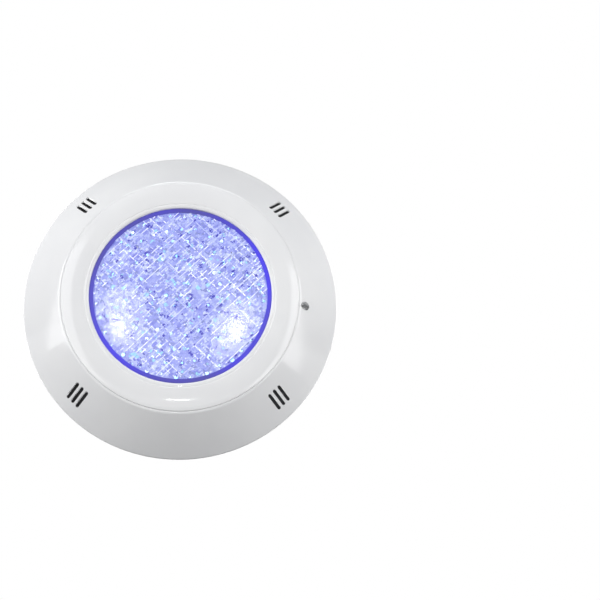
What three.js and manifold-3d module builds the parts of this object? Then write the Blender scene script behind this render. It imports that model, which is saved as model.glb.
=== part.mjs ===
// Underwater pool light: a wall-mounted LED lamp in a moulded white housing.
//
// Units are millimetres. Every piece is drawn in the lamp's own bench frame: the wall, which the
// rim lies against, is z = 0, the lamp's axis is z and the light leaves towards +z, and +y is up
// on the wall. The exported group turns that frame so that the lamp faces -Y with +Z up.
//
// Angles are degrees, counter-clockwise as seen from the front, from the +x direction.

import * as THREE from 'three';
import { mergeVertices } from 'three/addons/utils/BufferGeometryUtils.js';
import Module from 'manifold-3d';

const wasm = await Module();
wasm.setup();

// ---- Driving dimensions -----------------------------------------------------------------------

const WALL = 2.5;                 // general moulding thickness
const FIT = 0.3;                  // gap between pieces that touch
const ROUND = 40;                 // facets round the large turned parts
const SMALL_ROUND = 12;           // facets round bosses and screws

// Face ring: skirt, raised ring and opening for the lens
const RIM_R = 145;                // outside of the rim
const RIM_EDGE = 2.2;             // height of the rim's straight edge
const SHOULDER_R = 108.6;         // where the skirt meets the raised ring
const SHOULDER_Z = 33.8;
const FACE_Z = 36.7;              // crest of the raised ring
const OPENING_R = 82.3;           // the lens shows through this
const LIP_UNDER_Z = 34.3;         // rear side of the ring's inner lip

// Drain slots and the fixing screw's hole
const SLOT_R = 127.5;
const SLOT_TURN = 3.9;            // the slots stand this many degrees past the diagonals
const SLOT_LENGTH = 15.5;
const SLOT_WIDTH = 3.2;
const SLOT_PITCH = 5.8;
const SCREW_R = 113.5;            // the fixing screw's distance from the axis

// Twist lock between the face ring and the lamp body
const STATIONS = 8;               // clips, fingers and seats round the lamp
const STATION_STEP = 360 / STATIONS;
const FIRST_CLIP = 24.3;
const CLIP_WIDTH = 8.4;
const CLIP_WALL = 1.4;
const CLIP_REAR_Z = 14.5;         // rear side of the clips
const HOOK_R = 90.9;              // the hooks reach in to this radius
const INNER_RIBS_Z = 21;          // the ring's ribs stay in front of the lamp body's flange
const FLANGE_R = 90.6;            // lamp body's flange in the notches
const SEAT_R = 95.5;              // and at the seats that the hooks slide behind
const FLANGE_Z = 17.9;            // rear side of the flange
const SEAT_END = 2.8;             // a seat's end, in degrees from its clip at rest
const FINGER_AT = -9.3;           // a finger's middle, in degrees from its clip at rest
const FINGER_WIDTH = 7;
const FINGER_R = 104.5;
const NOTCH_END = -13.2;          // a notch's end, in degrees from the clip that follows it
const SEAT_START = -12.2;
const SEAT_AFTER_FINGER = -7;

// Lamp body
const DISC_R = 44.2;              // flat middle of the rear
const DISC_Z = 12.3;
const GROOVE_R = 71.3;            // groove at the foot of the cone
const GROOVE_Z = 22.3;
const RING_R = 74.6;              // inner edge of the raised rear ring
const CUP_R = 88.5;               // outside of the cup that holds the lens
const CUP_TOP_Z = 34;
const LEDGE_R = 82.8;
const LEDGE_Z = 30.8;

// Arms that stand on the rear and fasten the lamp to its wall bracket
const ARM_WIDTH = 18.5;
const ARM_END_R = 119.5;
const ARM_REAR_Z = 3;             // the arms stay this far off the wall
const ARM_PLATE_R = 86.5;
const ARM_WALL = 2;
const ARM_PLATE = 2.4;
const WINDOW = 12.4;

// Cable gland on the rear cone
const GLAND_R = 56.4;
const GLAND_AT = -151.8;
const GLAND_OUT_R = 11.8;
const GLAND_BORE_R = 10;
const GLAND_Z = 9.6;              // rear edge of the boss
const GLAND_FLOOR_Z = 13;

// Boards, inside the cup
const BOARD_R = 81.6;
const PLATE_Z = 27;
const PLATE_T = 1.2;
const LED_BOARD_Z = 28.5;
const LED_BOARD_T = 1.6;
const POST_R = 60;                // the four board screws stand on this circle
const DRIVER = { x: 4, y: 2, width: 64, height: 44, z: 16.5, t: 1.6 };
const WIRE_HOLE = { x: 16, y: 6, r: 5 };

// Supply cable: a lead out of the gland, then a tied coil that hangs from it
const CABLE_D = 7;
const BEND_R = 28;                // radius of the lead's bend
const BEND_START_Z = 8;
const BEND_HEADING = -137;        // the bend turns towards this direction
const COIL_STEP = 7.2;            // from one turn to the next
const COIL_MEAN_R = 39;
const COIL_LAYERS = 2;            // turns side by side, and three deep
const TIE_AT = 20;                // place of the tie on the coil
const TIE_WIDTH = 6;

// ---- Materials --------------------------------------------------------------------------------

const finish = (color, roughness, metalness = 0) =>
  new THREE.MeshStandardMaterial({ color, roughness, metalness });

const WHITE_ABS = finish('#ececef', 0.32);
const CLEAR = finish('#c3c6ff', 0.12);
const SILICONE = finish('#d9dad8', 0.6);
const ALUMINIUM = finish('#b9bcc0', 0.4, 1);
const BOARD_WHITE = finish('#e8ebf2', 0.5);
const BOARD_GREEN = finish('#1f5a35', 0.45);
const STEEL = finish('#c4c7ca', 0.3, 1);
const BLACK_EPOXY = finish('#1b1b1d', 0.45);
const CAN = finish('#3a4d78', 0.35);
const COPPER = finish('#b0623a', 0.35, 1);
const TERMINAL = finish('#2f7d4c', 0.45);
const RUBBER = finish('#141416', 0.6);
const WIRE_RED = finish('#a81f1f', 0.5);
const WIRE_BLACK = finish('#17171a', 0.5);

// ---- Geometry helpers -------------------------------------------------------------------------

const rad = THREE.MathUtils.degToRad;
const polar = (r, degrees) => [r * Math.cos(rad(degrees)), r * Math.sin(rad(degrees))];

// The geometry with shared vertices merged, empty triangles dropped and its faces outwards.
function closed(geometry) {
  geometry.deleteAttribute('normal');
  geometry.deleteAttribute('uv');
  geometry = mergeVertices(geometry, 1e-4);
  const at = geometry.attributes.position;
  const index = geometry.index.array;
  const a = new THREE.Vector3();
  const b = new THREE.Vector3();
  const c = new THREE.Vector3();
  const kept = [];
  let volume = 0;
  for (let i = 0; i < index.length; i += 3) {
    const [p, q, r] = index.slice(i, i + 3);
    if (p === q || q === r || r === p) continue;
    kept.push([p, q, r]);
    a.fromBufferAttribute(at, p);
    b.fromBufferAttribute(at, q);
    c.fromBufferAttribute(at, r);
    volume += a.dot(b.cross(c));
  }
  geometry.setIndex(kept.flatMap(([p, q, r]) => (volume < 0 ? [p, r, q] : [p, q, r])));
  return geometry;
}

function solid(geometry) {
  const { attributes, index } = closed(geometry);
  return new wasm.Manifold(new wasm.Mesh({
    numProp: 3,
    vertProperties: new Float32Array(attributes.position.array),
    triVerts: new Uint32Array(index.array),
  }));
}

function geometryOf(manifold) {
  const { vertProperties, triVerts } = manifold.getMesh();
  const geometry = new THREE.BufferGeometry();
  geometry.setAttribute('position', new THREE.BufferAttribute(vertProperties, 3));
  geometry.setIndex(new THREE.BufferAttribute(triVerts, 1));
  return geometry;
}

// A body turned about the z axis from a closed outline of [radius, z] points.
function turned(outline, facets = ROUND) {
  const points = outline.map(([r, z]) => new THREE.Vector2(r, z));
  const onAxis = outline[0][0] === 0 && outline[outline.length - 1][0] === 0;
  if (!onAxis) points.push(points[0].clone());
  return new THREE.LatheGeometry(points, facets).rotateX(Math.PI / 2);
}

function shapeOf(points) {
  return new THREE.Shape(points.map(([x, y]) => new THREE.Vector2(x, y)));
}

// A flat outline in x and y, raised from z0 to z1.
function raised(shape, z0, z1, curveSegments = 8) {
  return new THREE.ExtrudeGeometry(shape, { depth: z1 - z0, bevelEnabled: false, curveSegments })
    .translate(0, 0, z0);
}

// A web that stands on a radius: an outline of [radius, z] points, as thick as width, with its
// middle side of the radius at v, turned to an angle.
function web(outline, width, v, degrees) {
  return new THREE.ExtrudeGeometry(shapeOf(outline), { depth: width, bevelEnabled: false })
    .rotateX(Math.PI / 2)
    .translate(0, v + width / 2, 0)
    .rotateZ(rad(degrees));
}

// A box from [u0, u1] along the radius, [v0, v1] across it and [z0, z1], turned to an angle.
function block(u, v, z, degrees = 0) {
  return new THREE.BoxGeometry(u[1] - u[0], v[1] - v[0], z[1] - z[0])
    .translate((u[0] + u[1]) / 2, (v[0] + v[1]) / 2, (z[0] + z[1]) / 2)
    .rotateZ(rad(degrees));
}

function rod(r, z0, z1, x = 0, y = 0, facets = SMALL_ROUND) {
  return new THREE.CylinderGeometry(r, r, z1 - z0, facets)
    .rotateX(Math.PI / 2)
    .translate(x, y, (z0 + z1) / 2);
}

// Part of a ring between two radii and two angles.
function sector(r0, r1, from, to, z0, z1) {
  const shape = new THREE.Shape();
  shape.absarc(0, 0, r1, rad(from), rad(to), false);
  shape.absarc(0, 0, r0, rad(to), rad(from), true);
  return raised(shape, z0, z1, 4);
}

function circleHole(shape, x, y, r) {
  const hole = new THREE.Path();
  hole.absarc(x, y, r, 0, 2 * Math.PI, true);
  shape.holes.push(hole);
}

// A round rod along a curve.
function rodAlong(curve, r, steps, sides) {
  const section = new THREE.Shape();
  section.absarc(0, 0, r, 0, 2 * Math.PI, false);
  return new THREE.ExtrudeGeometry(section, {
    steps, extrudePath: curve, curveSegments: sides, bevelEnabled: false,
  });
}

const lamp = new THREE.Group();

function add(name, geometry, material) {
  const mesh = new THREE.Mesh(geometry, material);
  mesh.name = name;
  lamp.add(mesh);
  return mesh;
}

const stations = Array.from({ length: STATIONS }, (_, k) => FIRST_CLIP + k * STATION_STEP);
const diagonals = [45, 135, 225, 315];

// ---- Face ring --------------------------------------------------------------------------------

// Outer and inner height of the skirt at a radius.
const SKIRT_SLOPE = (SHOULDER_Z - RIM_EDGE - 0.6) / (RIM_R - 0.7 - SHOULDER_R);
const skirtOuter = (r) => SHOULDER_Z - (r - SHOULDER_R) * SKIRT_SLOPE;
const skirtInner = (r) => skirtOuter(r) - WALL * Math.hypot(1, SKIRT_SLOPE);

function faceRingShell() {
  return turned([
    [RIM_R, 0], [RIM_R, RIM_EDGE], [RIM_R - 0.7, RIM_EDGE + 0.6],
    [SHOULDER_R, SHOULDER_Z], [107.9, 33.5],
    [107.6, 34.3], [106.8, 34.9], [104.5, 35.5], [98.5, 36.3], [91, FACE_Z],
    [84.4, FACE_Z], [OPENING_R, FACE_Z - 0.9],
    [OPENING_R, LIP_UNDER_Z], [92, 34.2], [101, 33.5], [105, 32.6],
    [106.8, skirtInner(106.8)], [141.4, skirtInner(141.4)],
    [142.4, 1], [142.9, 0],
  ]);
}

function clip(degrees) {
  const half = CLIP_WIDTH / 2;
  const railSide = half - CLIP_WALL / 2;
  const rail = [
    [SEAT_R + 0.7, CLIP_REAR_Z], [104.6, CLIP_REAR_Z], [119.5, skirtInner(119.5) + 0.8],
    [107, 33], [103.5, 34.1], [SEAT_R + 0.7, 35],
  ];
  return [
    web(rail, CLIP_WALL, -railSide, degrees),
    web(rail, CLIP_WALL, railSide, degrees),
    block([HOOK_R, 98.2], [-half, half], [CLIP_REAR_Z, FLANGE_Z - 0.5], degrees),
    block([102.6, 103.9], [-half + 0.2, half - 0.2], [CLIP_REAR_Z, 34.1], degrees),
  ];
}

function fin(degrees) {
  const outline = [[98.5, INNER_RIBS_Z], [110, INNER_RIBS_Z], [114.5, skirtInner(114.5) + 0.8],
    [107, 33], [103.5, 34.1], [98.5, 34.8]];
  return web(outline, 1.2, 0, degrees);
}

// Short ribs under the shoulder, at each diagonal.
function gripRibs(degrees) {
  const outline = [[97.6, 31.9], [103.6, 30.6], [108.4, 27.6], [109.6, 30.4], [105, 33.8],
    [97.6, 34.8]];
  return [-9, -6, -3, 0, 3, 6, 9].map((v) => web(outline, 1.3, v, degrees));
}

// The boss behind the fixing screw's hole, trimmed to stay behind the skirt's outer side.
function screwBoss() {
  const behindSkirt = turned([[100, 0], [125, 0], [125, skirtOuter(125) - 0.6],
    [100, skirtOuter(100) - 0.6]]);
  return solid(rod(5.8, 12.5, FACE_Z, SCREW_R, 0)).intersect(solid(behindSkirt));
}

function slotCuts(degrees) {
  const end = (SLOT_LENGTH - SLOT_WIDTH) / 2;
  return [-1, 0, 1].map((k) => {
    const shape = new THREE.Shape();
    shape.absarc(SLOT_R + end, k * SLOT_PITCH, SLOT_WIDTH / 2, -Math.PI / 2, Math.PI / 2, false);
    shape.absarc(SLOT_R - end, k * SLOT_PITCH, SLOT_WIDTH / 2, Math.PI / 2, 1.5 * Math.PI, false);
    return raised(shape, 1, FACE_Z, 3).rotateZ(rad(degrees + SLOT_TURN));
  });
}

function faceRing() {
  let body = solid(faceRingShell());
  const added = [
    ...stations.flatMap(clip),
    ...stations.map((a) => fin(a + 9)),
    ...stations.map((a) => fin(a - 12.5)),
    ...stations.map((a) => sector(93, 95.2, a + 3.1, a + 7.6, INNER_RIBS_Z, 35)),
    ...diagonals.flatMap(gripRibs),
  ];
  const removed = [
    ...diagonals.flatMap(slotCuts),
    rod(3.9, 16, FACE_Z, SCREW_R, 0),
    rod(2.4, 10, 20, SCREW_R, 0),
  ];
  for (const piece of added) body = body.add(solid(piece));
  body = body.add(screwBoss());
  for (const piece of removed) body = body.subtract(solid(piece));
  return geometryOf(body);
}

// ---- Lamp body --------------------------------------------------------------------------------

function housingShell() {
  return turned([
    [0, DISC_Z], [DISC_R - 0.8, DISC_Z], [DISC_R, DISC_Z + 0.3],
    [58.5, 16.9], [70.2, 21.7], [GROOVE_R, GROOVE_Z], [RING_R, GROOVE_Z],
    [RING_R, FLANGE_Z + 0.6], [RING_R + 0.6, FLANGE_Z], [FLANGE_R, FLANGE_Z],
    [FLANGE_R, FLANGE_Z + WALL], [CUP_R, FLANGE_Z + WALL], [CUP_R, CUP_TOP_Z],
    [86.2, CUP_TOP_Z], [86.2, LEDGE_Z], [LEDGE_R, LEDGE_Z], [LEDGE_R, 29.2], [86, 27.2],
    [86, FLANGE_Z + WALL], [77.1, FLANGE_Z + WALL], [77.1, 24.8], [69.4, 24.6],
    [57.6, 19.6], [DISC_R - 1, DISC_Z + WALL + 0.1], [0, DISC_Z + WALL],
  ]);
}

// The flange's outline: a seat and a rounded finger beside each clip, and a notch at the clip.
function flange() {
  const shape = new THREE.Shape();
  const half = FINGER_WIDTH / 2;
  const tipAt = FINGER_R - half;
  for (const clipAt of stations) {
    const fingerAt = clipAt + FINGER_AT;
    const onFinger = (u, v) => {
      const [c, s] = polar(1, fingerAt);
      return [u * c - v * s, u * s + v * c];
    };
    const notchFrom = clipAt - STATION_STEP + SEAT_END;
    shape.absarc(0, 0, FLANGE_R, rad(notchFrom), rad(clipAt + NOTCH_END), false);
    shape.lineTo(...polar(SEAT_R, clipAt + SEAT_START));
    shape.lineTo(...onFinger(SEAT_R, -half));
    const [tipX, tipY] = onFinger(tipAt, 0);
    shape.absarc(tipX, tipY, half, rad(fingerAt - 90), rad(fingerAt + 90), false);
    shape.lineTo(...onFinger(SEAT_R, half));
    shape.absarc(0, 0, SEAT_R, rad(clipAt + SEAT_AFTER_FINGER), rad(clipAt + SEAT_END), false);
  }
  circleHole(shape, 0, 0, 80);
  return raised(shape, FLANGE_Z, FLANGE_Z + WALL, 3);
}

function arm(degrees) {
  const half = ARM_WIDTH / 2;
  const rail = [
    [53.5, 16.2], [66, ARM_REAR_Z + 1.2], [68, ARM_REAR_Z], [ARM_END_R, ARM_REAR_Z],
    [ARM_END_R, 8.5], [97, 11], [90, FLANGE_Z + 1.2], [78, FLANGE_Z + 1.2], [76, 23.4],
    [72, 23.4], [60, 19.2],
  ];
  const side = half - ARM_WALL / 2;
  const across = [-half + 0.2, half - 0.2];
  return [
    web(rail, ARM_WALL, -side, degrees),
    web(rail, ARM_WALL, side, degrees),
    block([ARM_PLATE_R, ARM_END_R], across, [ARM_REAR_Z, ARM_REAR_Z + ARM_PLATE], degrees),
    block([ARM_END_R - 2, ARM_END_R], across, [ARM_REAR_Z, 8.5], degrees),
  ];
}

// What is cut out of each arm's plate: the screw's hole, the bracket hook's window opposite,
// and a shallow locating pocket on the other two.
function armCuts() {
  const behind = ARM_REAR_Z - 1;
  const pocket = (degrees) => block([110.6, 114.2], [-6.4, 6.4], [behind, ARM_REAR_Z + 1.5],
    degrees);
  const windowFrom = 103.6;
  return [
    rod(2.5, behind, ARM_REAR_Z + ARM_PLATE + 1, SCREW_R, 0),
    rod(4.2, behind, ARM_REAR_Z + 0.8, SCREW_R, 0),
    block([windowFrom, windowFrom + WINDOW], [-WINDOW / 2, WINDOW / 2], [behind, 10.5], 180),
    pocket(90),
    pocket(270),
  ];
}

const [GLAND_X, GLAND_Y] = polar(GLAND_R, GLAND_AT);

function rearHousing() {
  let body = solid(housingShell());
  const posts = diagonals.map((a) => rod(3.8, 20.3, PLATE_Z - FIT, ...polar(POST_R, a)));
  const pads = [[-24, -16], [32, -16], [-24, 20], [32, 20]]
    .map(([x, y]) => rod(2.6, DISC_Z + 1, DRIVER.z - FIT, x, y, 12));
  const added = [
    flange(), ...[0, 90, 180, 270].flatMap(arm), ...posts, ...pads,
    rod(GLAND_OUT_R, GLAND_Z, 19, GLAND_X, GLAND_Y, 24),
  ];
  const removed = [
    ...armCuts(),
    ...diagonals.map((a) => rod(1.8, 23, 35, ...polar(POST_R, a), 12)),
    rod(GLAND_BORE_R, 0, GLAND_FLOOR_Z, GLAND_X, GLAND_Y, 24),
    rod(CABLE_D / 2 + 0.4, 5, 25, GLAND_X, GLAND_Y),
  ];
  for (const piece of added) body = body.add(solid(piece));
  for (const piece of removed) body = body.subtract(solid(piece));
  return geometryOf(body);
}

// ---- Lens, seal and boards --------------------------------------------------------------------

function lens() {
  const dome = (r, top, sag) => top - sag * (r / 78.5) ** 2;
  const radii = [0, 28, 54, 78.5];
  const outer = radii.map((r) => [r, dome(r, 38, 2.6)]);
  const inner = radii.slice().reverse().map((r) => [r, dome(r, 35.8, 2.7)]);
  return turned([
    ...outer, [81.2, 35.2], [81.9, 34.7], [81.9, 34], [85.9, 34], [85.9, 32.2],
    [80.5, 32.2], ...inner,
  ]);
}

function lensSeal() {
  return turned([[83.4, LEDGE_Z + FIT], [85.8, LEDGE_Z + FIT], [85.8, 31.9], [83.4, 31.9]]);
}

function boardDisc(z, thickness) {
  const shape = new THREE.Shape();
  shape.absarc(0, 0, BOARD_R, 0, 2 * Math.PI, false);
  for (const a of diagonals) circleHole(shape, ...polar(POST_R, a), 1.9);
  circleHole(shape, WIRE_HOLE.x, WIRE_HOLE.y, WIRE_HOLE.r);
  return raised(shape, z, z + thickness, 12);
}

function boardScrew(degrees) {
  const top = LED_BOARD_Z + LED_BOARD_T + FIT;
  const screw = turned([[0, 23.3], [1.5, 23.3], [1.5, top], [2.8, top], [2.8, top + 0.9],
    [1.9, top + 1.7], [0, top + 1.7]], 10);
  return screw.translate(...polar(POST_R, degrees), 0);
}

// ---- Driver electronics -----------------------------------------------------------------------

const ON_BOARD = DRIVER.z + DRIVER.t + FIT;   // where the driver's components stand

function driverBoard() {
  return block([DRIVER.x - DRIVER.width / 2, DRIVER.x + DRIVER.width / 2],
    [DRIVER.y - DRIVER.height / 2, DRIVER.y + DRIVER.height / 2],
    [DRIVER.z, DRIVER.z + DRIVER.t]);
}

function component(x, y, width, height, tall) {
  return block([x - width / 2, x + width / 2], [y - height / 2, y + height / 2],
    [ON_BOARD, ON_BOARD + tall]);
}

// An electrolytic capacitor on its side, along x.
function capacitor(x, y) {
  const r = 3.15;
  return turned([[0, 0], [r - 0.4, 0], [r, 0.4], [r, 1.8], [r - 0.35, 2.2], [r, 2.6],
    [r, 11.2], [0, 11.2]], 12)
    .rotateY(Math.PI / 2)
    .translate(x, y, ON_BOARD + r);
}

// A toroidal inductor lying flat.
function inductor(x, y) {
  return turned([[3.4, 0.6], [4, 0], [7.4, 0], [8, 0.6], [8, 4.6], [7.4, 5.2], [4, 5.2],
    [3.4, 4.6]], 18).translate(x, y, ON_BOARD);
}

function wire(points, r) {
  const curve = new THREE.CatmullRomCurve3(points.map((p) => new THREE.Vector3(...p)));
  return rodAlong(curve, r, 8, 6);
}

// One of the cable's two cores, from the gland to the terminal block.
function supplyCore(side) {
  const across = 1.4 * side;
  return wire([
    [GLAND_X - across * 0.5, GLAND_Y + across, 21.6],
    [GLAND_X + 1 - across * 0.5, GLAND_Y + 0.6 + across, 23.4],
    [GLAND_X + 8 - across * 0.5, GLAND_Y + 4.5 + across, 24.4],
    [-33, -15.4 + across * 1.4, 23.8],
    [-26.4, -12 + across * 1.6, 22.3],
  ], 0.9);
}

function ledFeed(side) {
  const y = WIRE_HOLE.y + side * 1.6;
  return wire([[WIRE_HOLE.x + 6, y, ON_BOARD], [WIRE_HOLE.x + 5.6, y, 21.8],
    [WIRE_HOLE.x + 1.5, y, 25], [WIRE_HOLE.x, y, LED_BOARD_Z + 0.9]], 0.7);
}

// ---- Cable and gland --------------------------------------------------------------------------

function glandRing(z0, z1) {
  const bore = CABLE_D / 2 + 0.35;
  const r = GLAND_BORE_R - FIT;
  return turned([[bore, z0], [r - 0.4, z0], [r, z0 + 0.4], [r, z1], [bore, z1]], 20)
    .translate(GLAND_X, GLAND_Y, 0);
}

const HEADING = polar(1, BEND_HEADING);

// The lead's centreline: straight out of the gland, then a quarter bend towards HEADING.
function leadPoint(turn) {
  const out = BEND_R * (1 - Math.cos(turn));
  return new THREE.Vector3(GLAND_X + out * HEADING[0], GLAND_Y + out * HEADING[1],
    BEND_START_Z - BEND_R * Math.sin(turn));
}

// The coil's centre: its outer turn carries on from the end of the quarter bend.
const COIL_OUTER_TURN = COIL_MEAN_R + COIL_STEP;
const bendEnd = leadPoint(Math.PI / 2);
const COIL_X = bendEnd.x - COIL_OUTER_TURN * HEADING[1];
const COIL_Y = bendEnd.y + COIL_OUTER_TURN * HEADING[0];
const COIL_FRONT_Z = bendEnd.z + CABLE_D / 2 + 0.1;
const COIL_REAR_Z = bendEnd.z - (COIL_LAYERS - 1) * COIL_STEP - CABLE_D / 2 - 0.1;
const COIL_OUT_R = COIL_OUTER_TURN + CABLE_D / 2;
const COIL_IN_R = COIL_MEAN_R - COIL_STEP - CABLE_D / 2;

function cableLead() {
  // The tube stops where the edge of its end face meets the coil's front face.
  const reach = BEND_START_Z - COIL_FRONT_Z - FIT;
  const lastTurn = Math.asin(reach / (BEND_R + CABLE_D / 2));
  const points = [new THREE.Vector3(GLAND_X, GLAND_Y, 21.2), new THREE.Vector3(GLAND_X, GLAND_Y, 14)];
  for (let k = 0; k <= 5; k += 1) points.push(leadPoint((lastTurn * k) / 5));
  return rodAlong(new THREE.CatmullRomCurve3(points, false, 'chordal'), CABLE_D / 2, 12, 10);
}

function cableCoil() {
  const round = 2.6;
  return turned([
    [COIL_IN_R + round, COIL_FRONT_Z], [COIL_OUT_R - round, COIL_FRONT_Z],
    [COIL_OUT_R, COIL_FRONT_Z - round], [COIL_OUT_R, COIL_REAR_Z + round],
    [COIL_OUT_R - round, COIL_REAR_Z], [COIL_IN_R + round, COIL_REAR_Z],
    [COIL_IN_R, COIL_REAR_Z + round], [COIL_IN_R, COIL_FRONT_Z - round],
  ], 30).translate(COIL_X, COIL_Y, 0);
}

// A strap round the bundle of turns, with its locking head outside.
function coilTie() {
  const gap = 0.5;
  const strap = 1.3;
  const head = 3.4;
  const inside = [COIL_IN_R - gap, COIL_OUT_R + gap];
  const depth = [COIL_REAR_Z - gap, COIL_FRONT_Z + gap];
  const shape = shapeOf([
    [inside[0] - strap, depth[0] - strap], [inside[1] + head, depth[0] - strap],
    [inside[1] + head, depth[0] + 5], [inside[1] + strap, depth[0] + 5],
    [inside[1] + strap, depth[1] + strap], [inside[0] - strap, depth[1] + strap],
  ]);
  shape.holes.push(new THREE.Path([
    [inside[0], depth[0]], [inside[0], depth[1]], [inside[1], depth[1]], [inside[1], depth[0]],
  ].map(([u, z]) => new THREE.Vector2(u, z))));
  return new THREE.ExtrudeGeometry(shape, { depth: TIE_WIDTH, bevelEnabled: false })
    .rotateX(Math.PI / 2)
    .translate(0, TIE_WIDTH / 2, 0)
    .rotateZ(rad(TIE_AT))
    .translate(COIL_X, COIL_Y, 0);
}

// ---- Assembly ---------------------------------------------------------------------------------

add('face_ring', faceRing(), WHITE_ABS);
add('rear_housing', rearHousing(), WHITE_ABS);
add('lens', closed(lens()), CLEAR);
add('lens_seal', closed(lensSeal()), SILICONE);
add('led_board', closed(boardDisc(LED_BOARD_Z, LED_BOARD_T)), BOARD_WHITE);
add('heat_plate', closed(boardDisc(PLATE_Z, PLATE_T)), ALUMINIUM);
diagonals.forEach((a, k) => add(`board_screw_${k + 1}`, closed(boardScrew(a)), STEEL));

add('driver_board', closed(driverBoard()), BOARD_GREEN);
add('capacitor_1', closed(capacitor(-4, 16)), CAN);
add('capacitor_2', closed(capacitor(-4, 8)), CAN);
add('inductor', closed(inductor(22, -8)), COPPER);
add('bridge_rectifier', closed(component(-6, -8, 8.6, 6.6, 2.6)), BLACK_EPOXY);
add('switching_transistor', closed(component(4, -12, 6.5, 6.2, 2.3)), BLACK_EPOXY);
add('driver_ic', closed(component(7, -1, 5, 4, 1.6)), BLACK_EPOXY);
add('terminal_block', closed(component(-21, -12, 10, 10.4, 7)), TERMINAL);
add('led_feed_positive', closed(ledFeed(1)), WIRE_RED);
add('led_feed_negative', closed(ledFeed(-1)), WIRE_BLACK);
add('supply_core_1', closed(supplyCore(1)), WIRE_RED);
add('supply_core_2', closed(supplyCore(-1)), WIRE_BLACK);

add('gland_seal', closed(glandRing(11, GLAND_FLOOR_Z - FIT)), RUBBER);
add('gland_cap', closed(glandRing(9.2, 10.7)), WHITE_ABS);
add('cable_lead', closed(cableLead()), RUBBER);
add('cable_coil', closed(cableCoil()), RUBBER);
add('coil_tie', closed(coilTie()), RUBBER);

lamp.rotation.x = Math.PI / 2;

const poolLight = new THREE.Group();
poolLight.add(lamp);

export default poolLight;
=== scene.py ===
"""Underwater pool light: the fine surfaces and the studio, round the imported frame.

Shapes are drawn in the lamp's bench frame, in millimetres: z is the lamp's axis, measured from the
wall towards the light's front, and angles run counter-clockwise as seen from the front, from +x.
BENCH_TO_WORLD turns that frame into the object's own, in metres, with the front towards -Y.
"""

import math
import random

import bmesh
import bpy
from mathutils import Matrix, Vector


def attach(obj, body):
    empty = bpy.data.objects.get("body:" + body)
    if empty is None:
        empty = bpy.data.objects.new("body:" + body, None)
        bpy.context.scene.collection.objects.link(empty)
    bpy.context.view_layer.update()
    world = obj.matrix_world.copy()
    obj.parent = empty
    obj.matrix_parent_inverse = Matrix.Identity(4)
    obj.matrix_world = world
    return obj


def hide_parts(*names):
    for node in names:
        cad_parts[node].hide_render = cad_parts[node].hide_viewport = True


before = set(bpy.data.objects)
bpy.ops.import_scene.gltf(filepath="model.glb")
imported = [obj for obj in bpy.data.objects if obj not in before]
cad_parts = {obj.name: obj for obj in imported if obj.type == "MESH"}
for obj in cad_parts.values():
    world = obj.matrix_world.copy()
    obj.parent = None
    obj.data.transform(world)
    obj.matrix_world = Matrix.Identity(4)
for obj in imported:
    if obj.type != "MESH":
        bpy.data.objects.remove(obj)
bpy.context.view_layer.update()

MM = 0.001
BENCH_TO_WORLD = Matrix(((MM, 0, 0, 0), (0, 0, -MM, 0), (0, MM, 0, 0), (0, 0, 0, 1)))

# ---- Sizes, in millimetres --------------------------------------------------------------------

WALL = 2.5
STEPS = 192                     # facets round the large turned parts
GLAND_STEPS = 72                # round the gland
HOLE_STEPS = 48                 # round the screw holes and the cable's passage

# Face ring
RIM_R = 145.0
RIM_EDGE = 2.2
SHOULDER_R = 108.6
SHOULDER_Z = 33.8
FACE_Z = 36.7
OPENING_R = 82.3
LIP_UNDER_Z = 34.3
SLOT_R = 127.5
SLOT_TURN = 3.9
SLOT_LENGTH = 15.5
SLOT_WIDTH = 3.6
SLOT_PITCH = 5.8
SCREW_R = 113.5
SCREW_BOSS_R = 5.8
SCREW_BOSS_REAR_Z = 12.5
COUNTERBORE_R = 3.9
COUNTERBORE_FLOOR_Z = 16.0
SCREW_HOLE_R = 2.4
DIAGONALS = (45, 135, 225, 315)

# Twist lock
STATIONS = [24.3 + 45 * k for k in range(8)]
CLIP_WIDTH = 8.4
CLIP_WALL = 1.4
CLIP_REAR_Z = 14.5
HOOK_R = 90.9
INNER_RIBS_Z = 21.0
FLANGE_R = 90.6
FLANGE_IN_R = 80.0
SEAT_R = 95.5
FLANGE_Z = 17.9
SEAT_END = 2.8
SEAT_START = -12.2
SEAT_AFTER_FINGER = -7.0
NOTCH_END = -13.2
FINGER_AT = -9.3
FINGER_WIDTH = 7.0
FINGER_R = 104.5

# Lamp body
DISC_R = 44.2
DISC_Z = 12.3
GROOVE_R = 71.3
GROOVE_Z = 22.3
RING_R = 74.6
CUP_R = 88.5
CUP_TOP_Z = 34.0
LEDGE_R = 82.8
LEDGE_Z = 30.8
ARMS = (0, 90, 180, 270)
ARM_WIDTH = 18.5
ARM_END_R = 119.5
ARM_REAR_Z = 3.0
ARM_PLATE_R = 86.5
ARM_WALL = 2.0
ARM_PLATE = 2.4
ARM_END_Z = 8.5                 # front edge of the arm's end
ARM_SCREW_R = 2.5
ARM_SCREW_SEAT_R = 4.2
WINDOW = 12.4
WINDOW_R = 103.6
POST_R = 60.0
POST_OUT_R = 3.8
POST_BORE_R = 1.8
DRIVER_PAD_R = 2.6
DRIVER_PADS = [(-24, -16), (32, -16), (-24, 20), (32, 20)]

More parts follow.
